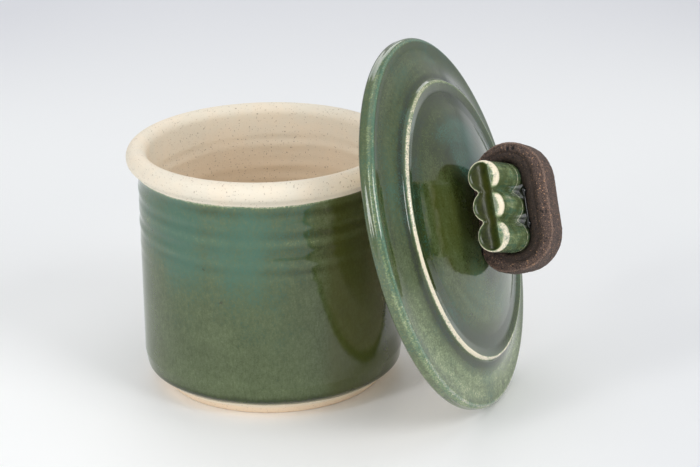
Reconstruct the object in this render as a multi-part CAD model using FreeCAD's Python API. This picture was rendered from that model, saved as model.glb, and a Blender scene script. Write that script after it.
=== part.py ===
import FreeCAD, Part
import math
import os

# A lidded stoneware jar. The jar stands on its foot; the lid is off and leans on the jar's rim.
# The lid's handle is a clay loop standing on edge, with a three-lobed bar passed through it.
# Millimetres, Z up. The origin is the middle of the jar's foot, on the surface it stands on.

Vector = FreeCAD.Vector

# Jar, turned about Z
RIM_RADIUS = 67.5           # outside of the rolled rim
RIM_ROLL = 5.1              # radius of the roll
RIM_DRIFT = -2.1            # the rim's middle lies this far along X from the foot's middle
RIM_HEIGHT = 115.6          # middle of the roll
NECK_DROP = 12.0            # from the middle of the roll down to the plain wall
NECK_OUT = 0.22             # the neck's curve at its middle, as shares of its width
NECK_UP = 0.6               # and of its height
RIM_UNDERCUT = 40.0         # the neck meets the roll this far under its middle, in degrees
SHOULDER_RADIUS = 62.0      # wall just under the neck
BELLY_RADIUS = 64.0         # wall just above the heel
HEEL_HEIGHT = 13.0          # where the wall starts to turn in to the foot
HEEL_OUT = 0.78             # the heel's curve at its middle, as shares of its width
HEEL_UP = 0.42              # and of its height
TRIM_RADIUS = 58.2          # where the heel meets the trimmed bevel
TRIM_HEIGHT = 5.9
FOOT_RADIUS = 52.8
FOOT_RING_WIDTH = 7.0
FOOT_RECESS = 2.2           # hollow turned inside the foot ring
FOOT_TRIM = 0.4             # the foot is turned this much too long and then cut off flat
WALL = 5.6
FLOOR_HEIGHT = 8.0          # top of the floor inside
INNER_CORNER = 11.0         # rounding between wall and floor inside
THROWING_RINGS = 4          # soft rings below the neck
RING_PITCH = 9.4
RING_DEPTH = 0.35

# Lid, turned about its own axis; heights are from the plane under its edge
LID_RADIUS = 91.2           # at the upper side of the edge
EDGE_THICKNESS = 7.8
EDGE_ROLL = 3.0             # rounding above and below the edge
EDGE_TAPER = 0.6            # the edge's lower side is this much smaller in radius
EDGE_GROOVE = 0.4           # shallow groove round the edge
EDGE_GROOVE_ROUND = 2.0
EDGE_FALL = 0.2             # the brim's outer part falls this much towards its bend
EDGE_LIP_WIDTH = 8.5        # the edge hangs this wide below the seat
SEAT_HEIGHT = 1.5           # the face that rests on the jar's rim when the lid is on
SEAT_ROUND = 1.5            # rounding at both sides of the seat
BRIM_WIDTH = 23.7           # from the edge in to the crest of the ridge round the raised middle
BRIM_SLOPE = 13.0           # this much of it, next to the ridge, turns up towards it
BRIM_ROUND = 28.0           # the bend is a wide hollow
TIER_RISE = 7.4             # from the edge up to the ridge
RIDGE_RISE = 2.6            # the ridge over the brim at its foot
RIDGE_WIDTH = 1.5           # from the ridge's crest out to its foot
RIDGE_FOOT_ROUND = 0.9
TIER_HOLLOW = 0.9           # dip just inside the ridge
TIER_HOLLOW_ROUND = 3.0
TIER_BEAD_WIDTH = 5.0       # from the ridge's crest to the middle of the dip
TIER_BEAD_ROUND = 1.1
DOME_MARGIN = 6.0           # from the middle of the dip to the foot of the dome
DOME_FOOT_RISE = 0.2        # foot of the dome over the ridge
DOME_RISE = 8.5             # middle of the dome over the ridge
FLANGE_CLEARANCE = 8.5      # between the flange and the mouth
FLANGE_WIDTH = 6.5
FLANGE_DEPTH = 15.3         # below the seat
FLANGE_DRAFT = 0.8          # the flange is this much wider at its root
FLANGE_ROUND = 2.4          # rounding of the flange's two edges
LID_HOLLOW = 10.0           # inside of the lid, above the seat

# Handle
HOLE_SLACK_LENGTH = 2.7     # the loop's hole is this much longer than the bar's section
HOLE_SLACK_HEIGHT = 3.4     # and this much higher
LOOP_THICKNESS = 14.0
LOOP_END_WIDTH = 8.2
LOOP_TOP_WIDTH = 10.5
LOOP_BASE_WIDTH = 9.0
LOOP_OUTER_EDGE = 1.5       # rounding of the loop's outer edges
LOOP_INNER_EDGE = 3.0       # rounding of the edges round its hole
LOOP_FOOT_CORNER = 13.0     # the loop's lower end is squarer where it stands on the dome
LOOP_SINK = 1.7             # how deep the loop is pressed into the dome
LOOP_YAW = -24.0            # turn of the loop on the lid, in degrees
BAR_YAW = -21.0             # the bar is a little askew in the loop
HANDLE_SHIFT = 0.6          # up the lid from its middle
BAR_LOBE_RADIUS = 7.6
BAR_LOBE_OVERLAP = 1.2      # of two lobes side by side
BAR_NECK = 8.0              # thickness between two lobes
BAR_REACH = 27.0            # past each face of the loop
BAR_END_ROUND = 1.4
BAR_DISH_DEPTH = 1.3        # hollow in each end
BAR_DISH_MARGIN = 2.9
BAR_DISH_SHIFT = 0.9        # the hollow lies this much nearer to the lid
BAR_LOBES = 3
OUTER_LOBE_TURN = 0.7       # middle of an outer lobe's arc, in radians from its top

# How the lid leans
LEAN_BEARING = -18.9        # direction the lid faces, from +X, in degrees
LEAN_TILT = 17.1            # how far it leans back from upright, in degrees
LEAN_OFFSET = -0.5          # sideways from the jar's axis
REST_CLEARANCE = 0.3        # between pieces that rest on each other

SAME = 1e-4                 # closer than this, two coordinates are the same

LOWER_EDGE_RADIUS = LID_RADIUS - EDGE_TAPER
MOUTH_RADIUS = RIM_RADIUS - 2 * RIM_ROLL
FLANGE_RADIUS = MOUTH_RADIUS - FLANGE_CLEARANCE
TIER_RADIUS = LID_RADIUS - BRIM_WIDTH
TIER_TOP = EDGE_THICKNESS + TIER_RISE
DOME_TOP = TIER_TOP + DOME_RISE
BAR_LOBE_PITCH = 2 * BAR_LOBE_RADIUS - BAR_LOBE_OVERLAP
HOLE_LENGTH = (BAR_LOBES - 1) * BAR_LOBE_PITCH + 2 * BAR_LOBE_RADIUS + HOLE_SLACK_LENGTH
HOLE_HEIGHT = 2 * BAR_LOBE_RADIUS + HOLE_SLACK_HEIGHT
LOOP_LENGTH = HOLE_LENGTH + 2 * LOOP_END_WIDTH
LOOP_HEIGHT = HOLE_HEIGHT + LOOP_TOP_WIDTH + LOOP_BASE_WIDTH
LOOP_FOOT = DOME_TOP - LOOP_SINK
HOLE_MIDDLE = LOOP_FOOT + LOOP_BASE_WIDTH + HOLE_HEIGHT / 2


def on_section(radius, height):
    return Vector(radius, 0, height)


def corner_arc(before, corner, after, radius):
    """The arc of this radius that rounds a corner, as its two ends and its middle."""
    into = (before - corner).normalize()
    out = (after - corner).normalize()
    half = into.getAngle(out) / 2
    setback = radius / math.tan(half)
    middle_way = (into + out).normalize()
    centre = corner + middle_way * (radius / math.sin(half))
    return corner + into * setback, centre - middle_way * radius, corner + out * setback


def rounded_outline(corners):
    """A closed outline of straight runs; each corner is (point, radius of its rounding)."""
    edges = []
    stops = []
    count = len(corners)
    for i, (corner, radius) in enumerate(corners):
        before = corners[i - 1][0]
        after = corners[(i + 1) % count][0]
        if radius > 0:
            start, middle, end = corner_arc(before, corner, after, radius)
            edges.append(Part.Arc(start, middle, end).toShape())
            stops.append((start, end))
        else:
            edges.append(None)
            stops.append((corner, corner))
    outline = []
    for i in range(count):
        if edges[i]:
            outline.append(edges[i])
        start = stops[i][1]
        end = stops[(i + 1) % count][0]
        if start.distanceToPoint(end) > SAME:
            outline.append(Part.LineSegment(start, end).toShape())
    return outline


def turned(edges):
    """The solid turned about Z from a closed section."""
    face = Part.Face(Part.Wire(Part.__sortEdges__(edges)))
    return face.revolve(Vector(0, 0, 0), Vector(0, 0, 1), 360)


def chain(points):
    return [Part.LineSegment(a, b).toShape() for a, b in zip(points, points[1:])]


def arc(start, middle, end):
    return Part.Arc(start, middle, end).toShape()


def cap(foot, top):
    """The arc of a sphere's section from a foot point up, or down, to a point on the axis."""
    rise = top.z - foot.z
    radius = (foot.x ** 2 + rise ** 2) / (2 * rise)
    half_turn = math.asin(foot.x / radius) / 2
    middle = on_section(radius * math.sin(half_turn), top.z - radius * (1 - math.cos(half_turn)))
    return arc(foot, middle, top)


def wall_radius(height):
    """Outside radius of the jar's plain wall."""
    top = RIM_HEIGHT - NECK_DROP
    share = (height - HEEL_HEIGHT) / (top - HEEL_HEIGHT)
    return BELLY_RADIUS + (SHOULDER_RADIUS - BELLY_RADIUS) * share


def jar():
    roll_middle = RIM_RADIUS - RIM_ROLL
    neck_height = RIM_HEIGHT - NECK_DROP
    recess_radius = FOOT_RADIUS - FOOT_RING_WIDTH
    edges = chain([
        on_section(0, FLOOR_HEIGHT),
        on_section(0, FOOT_RECESS),
        on_section(recess_radius - FOOT_RECESS, FOOT_RECESS),
        on_section(recess_radius + FOOT_TRIM, -FOOT_TRIM),
        on_section(FOOT_RADIUS - FOOT_TRIM * (TRIM_RADIUS - FOOT_RADIUS) / TRIM_HEIGHT, -FOOT_TRIM),
        on_section(TRIM_RADIUS, TRIM_HEIGHT),
    ])
    # heel
    heel_end = on_section(wall_radius(HEEL_HEIGHT), HEEL_HEIGHT)
    heel_middle = on_section(
        TRIM_RADIUS + (BELLY_RADIUS - TRIM_RADIUS) * HEEL_OUT,
        TRIM_HEIGHT + (HEEL_HEIGHT - TRIM_HEIGHT) * HEEL_UP)
    edges.append(arc(on_section(TRIM_RADIUS, TRIM_HEIGHT), heel_middle, heel_end))
    # plain wall, then the throwing rings, each a shallow hollow between two ridges
    rings_start = neck_height - THROWING_RINGS * RING_PITCH
    lower = on_section(wall_radius(rings_start), rings_start)
    edges += chain([heel_end, lower])
    for i in range(THROWING_RINGS):
        top = rings_start + (i + 1) * RING_PITCH
        middle = top - RING_PITCH / 2
        upper = on_section(wall_radius(top), top)
        edges.append(arc(lower, on_section(wall_radius(middle) - RING_DEPTH, middle), upper))
        lower = upper
    # neck up to the roll, met under its middle
    meet = math.radians(RIM_UNDERCUT)
    roll_start = on_section(
        roll_middle + RIM_ROLL * math.cos(meet), RIM_HEIGHT - RIM_ROLL * math.sin(meet))
    neck_middle = on_section(
        SHOULDER_RADIUS + (roll_start.x - SHOULDER_RADIUS) * NECK_OUT,
        neck_height + (roll_start.z - neck_height) * NECK_UP)
    edges.append(arc(lower, neck_middle, roll_start))
    edges.append(arc(
        roll_start,
        on_section(roll_middle, RIM_HEIGHT + RIM_ROLL),
        on_section(MOUTH_RADIUS, RIM_HEIGHT)))
    # inside
    inner_top = on_section(SHOULDER_RADIUS - WALL, neck_height)
    inner_foot = on_section(BELLY_RADIUS - WALL, FLOOR_HEIGHT)
    edges += chain([on_section(MOUTH_RADIUS, RIM_HEIGHT), inner_top])
    start, middle, end = corner_arc(inner_top, inner_foot, on_section(0, FLOOR_HEIGHT), INNER_CORNER)
    edges += chain([inner_top, start])
    edges.append(arc(start, middle, end))
    edges += chain([end, on_section(0, FLOOR_HEIGHT)])
    # thrown by hand, the jar drifts a little to one side as it rises
    drift = FreeCAD.Matrix()
    drift.A13 = RIM_DRIFT / RIM_HEIGHT
    thrown = turned(edges).transformGeometry(drift)
    waste = Part.makeBox(4 * FOOT_RADIUS, 4 * FOOT_RADIUS, 2 * FOOT_TRIM)
    waste.translate(Vector(-2 * FOOT_RADIUS, -2 * FOOT_RADIUS, -2 * FOOT_TRIM))
    return thrown.cut(waste)


def lid_underside():
    """Corners of the lid's underside, from the edge in to the flange's inner foot."""
    lip = LOWER_EDGE_RADIUS - EDGE_LIP_WIDTH
    tip = SEAT_HEIGHT - FLANGE_DEPTH
    return [
        (on_section(lip, 0), SEAT_ROUND),
        (on_section(lip - SEAT_HEIGHT, SEAT_HEIGHT), SEAT_ROUND),
        (on_section(FLANGE_RADIUS + FLANGE_DRAFT, SEAT_HEIGHT), SEAT_ROUND),
        (on_section(FLANGE_RADIUS, tip), FLANGE_ROUND),
        (on_section(FLANGE_RADIUS - FLANGE_WIDTH, tip), FLANGE_ROUND),
    ]


def lid():
    bead_foot = TIER_RADIUS - TIER_BEAD_WIDTH
    upper_side = [
        (on_section(LOWER_EDGE_RADIUS, 0), EDGE_ROLL),
        (on_section(LID_RADIUS - EDGE_TAPER / 2 - EDGE_GROOVE, EDGE_THICKNESS / 2), EDGE_GROOVE_ROUND),
        (on_section(LID_RADIUS, EDGE_THICKNESS), EDGE_ROLL),
        (on_section(TIER_RADIUS + BRIM_SLOPE, EDGE_THICKNESS - EDGE_FALL), BRIM_ROUND),
        (on_section(TIER_RADIUS + RIDGE_WIDTH, TIER_TOP - RIDGE_RISE), RIDGE_FOOT_ROUND),
        (on_section(TIER_RADIUS, TIER_TOP), TIER_BEAD_ROUND),
        (on_section(bead_foot, TIER_TOP - TIER_HOLLOW), TIER_HOLLOW_ROUND),
    ]
    hollow_start = on_section(FLANGE_RADIUS - FLANGE_WIDTH, SEAT_HEIGHT)
    dome_start = on_section(bead_foot - DOME_MARGIN, TIER_TOP + DOME_FOOT_RISE)
    outline = rounded_outline(
        [(hollow_start, 0)] + list(reversed(lid_underside())) + upper_side + [(dome_start, 0)])
    # the closing run from the dome back to the hollow gives way to the two domes
    outline.pop()
    outline.append(cap(dome_start, on_section(0, DOME_TOP)))
    hollow_top = SEAT_HEIGHT + LID_HOLLOW
    outline += chain([on_section(0, DOME_TOP), on_section(0, hollow_top)])
    outline.append(cap(hollow_start, on_section(0, hollow_top)))
    return turned(outline)


def oval(length, height, middle, thickness, foot_corner):
    """A round-ended slab on edge, its length along Y; one lower corner, at -Y, has its own radius."""
    x = -thickness / 2
    low = middle - height / 2
    high = middle + height / 2
    outline = rounded_outline([
        (Vector(x, -length / 2, low), foot_corner),
        (Vector(x, length / 2, low), height / 2),
        (Vector(x, length / 2, high), height / 2),
        (Vector(x, -length / 2, high), height / 2),
    ])
    return Part.Face(Part.Wire(outline)).extrude(Vector(thickness, 0, 0))


def flat_end_edges(shape, reach):
    """The edges that lie in the two end planes, at -reach and +reach along X."""
    return [e for e in shape.Edges
            if abs(e.BoundBox.XLength) < SAME and abs(abs(e.BoundBox.XMin) - reach) < SAME]


def borders_hole(edge):
    box = edge.BoundBox
    side = HOLE_LENGTH / 2 + SAME
    rise = HOLE_HEIGHT / 2 + SAME
    return (-side < box.YMin and box.YMax < side
            and HOLE_MIDDLE - rise < box.ZMin and box.ZMax < HOLE_MIDDLE + rise)


def handle_loop(lid_shape):
    half = LOOP_THICKNESS / 2
    middle = LOOP_FOOT + LOOP_HEIGHT / 2
    outer = oval(LOOP_LENGTH, LOOP_HEIGHT, middle, LOOP_THICKNESS, LOOP_FOOT_CORNER)
    outer = outer.makeFillet(LOOP_OUTER_EDGE, flat_end_edges(outer, half))
    hole = oval(HOLE_LENGTH, HOLE_HEIGHT, HOLE_MIDDLE, LOOP_THICKNESS, HOLE_HEIGHT / 2)
    ring = outer.cut(hole)
    hole_edges = [e for e in flat_end_edges(ring, half) if borders_hole(e)]
    ring = ring.makeFillet(LOOP_INNER_EDGE, hole_edges)
    ring.translate(Vector(0, HANDLE_SHIFT, 0))
    # its foot takes the dome's shape
    return ring.cut(lid_shape)


def lobed_bar(radius, neck, start, length):
    """Lobes side by side along Y, blended by round notches, as one solid from start along X."""
    half_pitch = BAR_LOBE_PITCH / 2
    notch = (neck ** 2 / 4 + half_pitch ** 2 - radius ** 2) / (2 * radius - neck)
    share = radius / (radius + notch)
    touch_y = half_pitch * share
    touch_z = (neck / 2 + notch) * share
    last = BAR_LOBES - 1
    arcs = []
    for i in range(BAR_LOBES):
        y = (i - last / 2) * BAR_LOBE_PITCH
        left = (y - touch_y, touch_z) if i > 0 else (y - radius, 0)
        right = (y + touch_y, touch_z) if i < last else (y + radius, 0)
        # the outer lobes turn through more than the middle ones, so their middle point lies further out
        turn = OUTER_LOBE_TURN * ((i == last) - (i == 0))
        arcs.append((left, (y + radius * math.sin(turn), radius * math.cos(turn)), right))
        if i < last:
            next_left = (y + BAR_LOBE_PITCH - touch_y, touch_z)
            arcs.append((right, (y + half_pitch, neck / 2), next_left))
    arcs += [tuple((y, -z) for y, z in reversed(points)) for points in reversed(arcs)]
    edges = [arc(*[Vector(start, y, z) for y, z in points]) for points in arcs]
    return Part.Face(Part.Wire(edges)).extrude(Vector(length, 0, 0))


def handle_bar():
    length = LOOP_THICKNESS + 2 * BAR_REACH
    bar = lobed_bar(BAR_LOBE_RADIUS, BAR_NECK, -length / 2, length)
    bar = bar.makeFillet(BAR_END_ROUND, flat_end_edges(bar, length / 2))
    for start in (-length / 2, length / 2 - BAR_DISH_DEPTH):
        dish = lobed_bar(
            BAR_LOBE_RADIUS - BAR_DISH_MARGIN, BAR_NECK - BAR_DISH_MARGIN, start, BAR_DISH_DEPTH)
        dish.translate(Vector(0, 0, -BAR_DISH_SHIFT))
        bar = bar.cut(dish)
    # it rests on the foot of the loop's hole
    middle = HOLE_MIDDLE - HOLE_HEIGHT / 2 + REST_CLEARANCE + BAR_LOBE_RADIUS
    bar.translate(Vector(0, HANDLE_SHIFT, middle))
    return bar


def lid_axes():
    """Directions of the lid's sideways, upslope and outward axes."""
    bearing = math.radians(LEAN_BEARING)
    tilt = math.radians(LEAN_TILT)
    level = Vector(math.cos(bearing), math.sin(bearing), 0)
    outward = level * math.cos(tilt) + Vector(0, 0, 1) * math.sin(tilt)
    sideways = Vector(0, 0, 1).cross(level)
    return sideways, outward.cross(sideways), outward, level


def underside_rings():
    """Radius and height of points along the lid's underside, about half a millimetre apart."""
    edges = rounded_outline(
        [(on_section(LID_RADIUS, EDGE_THICKNESS), 0), (on_section(LOWER_EDGE_RADIUS, 0), EDGE_ROLL)]
        + lid_underside()
        + [(on_section(FLANGE_RADIUS - FLANGE_WIDTH, SEAT_HEIGHT), 0),
           (on_section(0, EDGE_THICKNESS), 0)])
    points = []
    for edge in edges[:-2]:
        count = max(2, int(edge.Length / 0.5))
        points += [(p.x, p.z) for p in edge.discretize(Number=count)]
    return points


def lid_place():
    """Where the lid's own origin lies: its edge on the floor, its underside against the rim."""
    sideways, upslope, outward, level = lid_axes()
    tilt = math.radians(LEAN_TILT)
    # the edge's lowest point is on one of the two circles that its roundings turn about
    height = max(
        (LOWER_EDGE_RADIUS - EDGE_ROLL) * math.cos(tilt) - EDGE_ROLL * math.sin(tilt),
        (LID_RADIUS - EDGE_ROLL) * math.cos(tilt) - (EDGE_THICKNESS - EDGE_ROLL) * math.sin(tilt),
    ) + EDGE_ROLL
    roll_middle = RIM_RADIUS - RIM_ROLL
    offsets = []
    for radius, lift in underside_rings():
        for degree in range(0, 360, 2):
            turn = math.radians(degree)
            offsets.append(
                sideways * (radius * math.cos(turn)) + upslope * (radius * math.sin(turn))
                + outward * lift)

    def gap(slide):
        base = level * slide + sideways * LEAN_OFFSET + Vector(0, 0, height)
        least = 1e9
        for offset in offsets:
            spot = base + offset
            reach = math.hypot(spot.x - RIM_DRIFT * spot.z / RIM_HEIGHT, spot.y)
            least = min(least, math.hypot(reach - roll_middle, spot.z - RIM_HEIGHT) - RIM_ROLL)
            if spot.z < RIM_HEIGHT:
                least = min(least, reach - BELLY_RADIUS)
        return least

    near, far = RIM_RADIUS, RIM_RADIUS + LID_RADIUS
    for _ in range(16):
        slide = (near + far) / 2
        if gap(slide) < REST_CLEARANCE:
            near = slide
        else:
            far = slide
    return level * far + sideways * LEAN_OFFSET + Vector(0, 0, height)


def leaning(shape, turn_degrees, place):
    """A copy of a shape from the lid's own axes, turned about its axis and set where the lid leans."""
    sideways, upslope, outward, _ = lid_axes()
    turn = math.radians(turn_degrees)
    across = sideways * math.cos(turn) + upslope * math.sin(turn)
    along = outward.cross(across)
    matrix = FreeCAD.Matrix(
        across.x, along.x, outward.x, place.x,
        across.y, along.y, outward.y, place.y,
        across.z, along.z, outward.z, place.z,
        0, 0, 0, 1)
    moved = shape.copy()
    moved.Placement = FreeCAD.Placement(matrix).multiply(shape.Placement)
    return moved


def main():
    os.makedirs("parts", exist_ok=True)
    flat_lid = lid()
    place = lid_place()
    nodes = {
        "jar": jar(),
        "lid": leaning(flat_lid, 0, place),
        "handle_loop": leaning(handle_loop(flat_lid), LOOP_YAW, place),
        "handle_bar": leaning(handle_bar(), BAR_YAW, place),
    }
    for name, shape in nodes.items():
        solids = shape.Solids
        print(name, len(solids), shape.isValid(), round(shape.Volume / 1000, 1), "cm3", shape.BoundBox)
        solids[0].exportStep("parts/" + name + ".step")


main()
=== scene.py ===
import math

import bmesh
import bpy
import numpy as np
from mathutils import Matrix, Vector


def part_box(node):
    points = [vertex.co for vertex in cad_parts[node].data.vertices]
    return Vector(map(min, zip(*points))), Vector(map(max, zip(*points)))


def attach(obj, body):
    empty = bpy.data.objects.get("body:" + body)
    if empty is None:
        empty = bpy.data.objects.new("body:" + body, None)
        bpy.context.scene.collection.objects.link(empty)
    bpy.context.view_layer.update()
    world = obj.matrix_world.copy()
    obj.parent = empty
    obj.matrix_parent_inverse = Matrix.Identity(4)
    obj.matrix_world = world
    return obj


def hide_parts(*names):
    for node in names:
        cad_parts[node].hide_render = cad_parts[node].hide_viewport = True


# A lidded stoneware jar. Green glaze over buff clay; the lid is off and leans on the jar's rim.
# Metres, Z up. The jar stands on Z = 0 with the middle of its foot at the origin.

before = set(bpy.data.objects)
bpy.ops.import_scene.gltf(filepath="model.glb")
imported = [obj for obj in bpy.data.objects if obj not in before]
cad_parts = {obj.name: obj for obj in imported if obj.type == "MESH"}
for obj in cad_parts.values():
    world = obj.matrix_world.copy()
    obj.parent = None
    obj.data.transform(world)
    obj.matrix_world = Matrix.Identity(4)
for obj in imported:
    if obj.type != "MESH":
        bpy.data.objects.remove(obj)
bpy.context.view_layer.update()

# ---------------------------------------------------------------- sizes

MM = 0.001
SKIN = 0.25 * MM               # what is uneven stays this far inside the plain size

jar_low, jar_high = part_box("jar")
RIM_ROLL = 5.1 * MM            # radius of the roll round the rim
RIM_RADIUS = jar_high.y - SKIN
RIM_HEIGHT = jar_high.z - RIM_ROLL
RIM_DRIFT = (jar_low.x + jar_high.x) / 2   # the jar leans: its rim's middle is this far from its foot's
ROLL_UNDERCUT = math.radians(-40)          # where the roll meets the neck
NECK_HEIGHT = RIM_HEIGHT - 12.0 * MM
SHOULDER_RADIUS = 62.0 * MM
BELLY_RADIUS = 64.0 * MM
HEEL_HEIGHT = 13.0 * MM
HEEL_INSET = 1.2 * MM
HEEL_ROUND = 3.5 * MM
TRIM_RADIUS = 58.2 * MM        # top of the trimmed band above the foot
TRIM_HEIGHT = 5.9 * MM
TRIM_EDGE = 1.5 * MM
FOOT_RADIUS = 52.8 * MM
FOOT_EDGE = 0.8 * MM
FOOT_RING = 7.0 * MM
FOOT_RECESS = 2.2 * MM
WALL = 5.6 * MM
FLOOR_HEIGHT = 8.0 * MM
INNER_CORNER = 11.0 * MM
RING_PITCH = 9.4 * MM
RING_DEPTH = 0.24 * MM
RING_SWAY = 0.4                # how far a ring wanders, in rings
RING_STRETCH = 14              # the rings' noise: how fast it changes up the jar, against round it
RINGS_FOOT = 62.0 * MM         # the throwing rings fade out below RINGS_FULL and end here
RINGS_FULL = 84.0 * MM
RINGS_FADE = 6.0 * MM          # and fade out over this height at the neck
GLAZE_TOP = 109.3 * MM
GLAZE_FOOT = 6.6 * MM
GLAZE_INNER = 59.8 * MM        # nothing nearer to the jar's axis is glazed, apart from its foot

LEAN_BEARING = math.radians(-18.9)
LEAN_TILT = math.radians(17.1)
LID_RADIUS = 91.2 * MM
EDGE_THICKNESS = 7.8 * MM
EDGE_ROLL = 2.6 * MM
EDGE_GROOVE = 0.7 * MM
EDGE_GROOVE_ROUND = 1.2 * MM
EDGE_TAPER = 0.6 * MM
EDGE_FALL = 0.2 * MM
EDGE_LIP_WIDTH = 8.5 * MM
SEAT_HEIGHT = 1.5 * MM         # the underside lies this far over the lip at the edge
SEAT_ROUND = 1.5 * MM
BRIM_BEND = 80.5 * MM          # where the brim turns up towards the ridge
BRIM_ROUND = 28.0 * MM
TIER_RADIUS = 67.5 * MM        # crest of the ridge
TIER_RISE = 7.4 * MM
TIER_TOP = EDGE_THICKNESS + TIER_RISE
RIDGE_RISE = 2.6 * MM
RIDGE_WIDTH = 1.5 * MM
RIDGE_ROUND = 1.1 * MM
RIDGE_FOOT_ROUND = 0.9 * MM
TIER_HOLLOW = 0.9 * MM         # dip just inside the ridge
TIER_HOLLOW_ROUND = 3.0 * MM
TIER_BEAD = 5.0 * MM           # from the ridge's crest to the middle of the dip
DOME_MARGIN = 6.0 * MM         # from there to the foot of the dome
DOME_FOOT = TIER_RADIUS - TIER_BEAD - DOME_MARGIN
DOME_FOOT_RISE = 0.2 * MM      # foot of the dome over the ridge
DOME_RISE = 8.5 * MM           # middle of the dome over the ridge
DOME_TOP = TIER_TOP + DOME_RISE
FLANGE_RADIUS = 48.8 * MM
FLANGE_WIDTH = 6.5 * MM
FLANGE_DEPTH = 15.3 * MM
FLANGE_ROUND = 2.4 * MM
FLANGE_DRAFT = 0.8 * MM
LID_HOLLOW = 10.0 * MM

LOOP_YAW = math.radians(-24.0)
LOOP_LENGTH = 62.3 * MM
LOOP_HEIGHT = 38.1 * MM
LOOP_THICKNESS = 14.0 * MM
LOOP_END_WIDTH = 8.2 * MM
LOOP_TOP_WIDTH = 10.5 * MM
LOOP_BASE_WIDTH = 9.0 * MM
LOOP_OUTER_EDGE = 1.5 * MM
LOOP_INNER_EDGE = 3.0 * MM
LOOP_FOOT_CORNER = 13.0 * MM
LOOP_SINK = 1.7 * MM           # how far the loop's foot is let into the dome
LOOP_MIDDLE = DOME_TOP - LOOP_SINK + LOOP_HEIGHT / 2
HOLE_LENGTH = LOOP_LENGTH - 2 * LOOP_END_WIDTH
HOLE_HEIGHT = LOOP_HEIGHT - LOOP_TOP_WIDTH - LOOP_BASE_WIDTH
HOLE_MIDDLE = DOME_TOP - LOOP_SINK + LOOP_BASE_WIDTH + HOLE_HEIGHT / 2
LOOP_ROLL_DEPTH = 5.6 * MM     # how far the roll round the hole reaches in from each cheek
CLOSE_ENDS = 1.5 * MM          # how far the roll's middle closes on the bar, at the loop's ends,
CLOSE_OUTWARD = 3.2 * MM       # on its side away from the lid
CLOSE_LID = 0.4 * MM           # and next to the lid
LOOP_SKIN = 0.4 * MM           # the rough loop stays this far inside the plain size
CHEEK_SWELL = 0.9 * MM         # the cheeks of the loop are this much fuller at their middle
EDGE_HIGHLIGHT_WIDTH = 0.9 * MM          # half the width of the painted highlight on its outer edges
HANDLE_SHIFT = 0.6 * MM        # the handle's middle is this far from the lid's
ARC_STEPS = 56
RUN_STEPS = 26
NICKS = ((-7.6 * MM, 28.4 * MM, 43.4 * MM), (-7.6 * MM, 28.0 * MM, 46.0 * MM))
NICK_RADIUS = 1.0 * MM
NICK_DEPTH = 1.1 * MM

BAR_YAW = math.radians(-21.0)
BAR_LOBE_RADIUS = 7.6 * MM
BAR_LOBE_PITCH = 14.0 * MM
BAR_NECK = 8.0 * MM            # thickness between two lobes
BAR_LOBES = 3
BAR_LENGTH = 68.0 * MM
BAR_CLEARANCE = 0.3 * MM
BAR_END_ROUND = 1.4 * MM
BAR_EDGE_WIDTH = 1.5 * MM
BAR_DISH_DEPTH = 1.7 * MM
BAR_DISH_RIM = 2.9 * MM        # from the outline in to the innermost ring of points that follows it
BAR_DISH_FAR = 0.42            # the dish's straight far wall, in lobe radii from the bar's middle
BAR_NECK_REACH = 1.7 * MM      # how far a neck's marks reach along the row of lobes
BAR_LIP_FADE = 2.0 * MM        # the pale rim fades out this far down the bar's side
BAR_MIDDLE = HOLE_MIDDLE - HOLE_HEIGHT / 2 + BAR_CLEARANCE + BAR_LOBE_RADIUS

POOL_FACE = -5.2 * MM          # middle of the pooled glaze, across the loop
POOL_HEIGHT = BAR_MIDDLE + BAR_LOBE_RADIUS + 1.0 * MM
POOL_SHIFT = -1.0 * MM
POOL_APART = 16.0 * MM         # between its two swellings
POOL_LENGTH = 21.0 * MM
POOL_WIDTH = 1.7 * MM
POOL_THIN = 0.6 * MM           # half its thickness away from the swellings
POOL_SWELL = 1.5 * MM          # what a swelling adds to that up and down,
POOL_REACH = 1.6 * MM          # what it adds across,
POOL_DROP = 0.2 * MM           # and how far it sags
FILLET_FROM = -19.5 * MM
FILLET_TO = 16.0 * MM
FILLET_WIDTH = 2.0 * MM
FILLET_HEIGHT = 1.4 * MM
FILLET_CORNER = 1.5 * MM
FILLET_TUCK = 1.2 * MM         # how far it reaches in under the loop's outside
FILLET_ROOT = 0.5 * MM         # how far it reaches down into the dome

CAMERA_PLACE = (0.03874, -1.21539, 0.52120)
CAMERA_PITCH = 0.35407
CAMERA_ROLL = -0.02060
CAMERA_LENS = 135.45           # mm, on a sensor 36 mm wide

RELIEF = ("Lumps", "Lump Depth", "Grain", "Grain Depth", "Pit Depth", "Seed")
LOOP_RELIEF = (110.0, 0.8 * MM, 800.0, 0.42 * MM, 0.25 * MM, 0.3)
BAR_RELIEF = (130.0, 0.3 * MM, 500.0, 0.02 * MM, 0.0, 0.7)
POOL_RELIEF = (220.0, 0.12 * MM, 600.0, 0.0, 0.0, 0.1)

WORLD_COLOUR = (0.96, 0.98, 1.0, 1.0)
WORLD_STRENGTH = 0.48
LIT_POINT = (0.03, -0.02, 0.07)
LAMPS = (                      # name, place, size, share of full light, seen in the glaze or not
    ("overhead", (0.0, 0.0, 1.8), (2.2, 2.0), 0.24, True),
    ("window_left", (-1.3, -1.15, 1.0), (0.35, 1.5), 0.25, True),
    ("window_right", (1.4, -1.2, 1.3), (1.0, 1.0), 0.38, True),
    ("low_front", (-0.4, -2.1, 0.45), (3.6, 0.8), 0.20, False),
    ("back_fill", (-0.2, 1.7, 1.0), (1.4, 0.9), 0.16, True),
)
FLOOR_HALF = 6.0


# ---------------------------------------------------------------- numbers in node trees

def operation(name):
    """A method of a number: what one Math node makes of it and of whatever else is given."""
    return lambda self, *others: self.math(name, *others)


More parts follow.
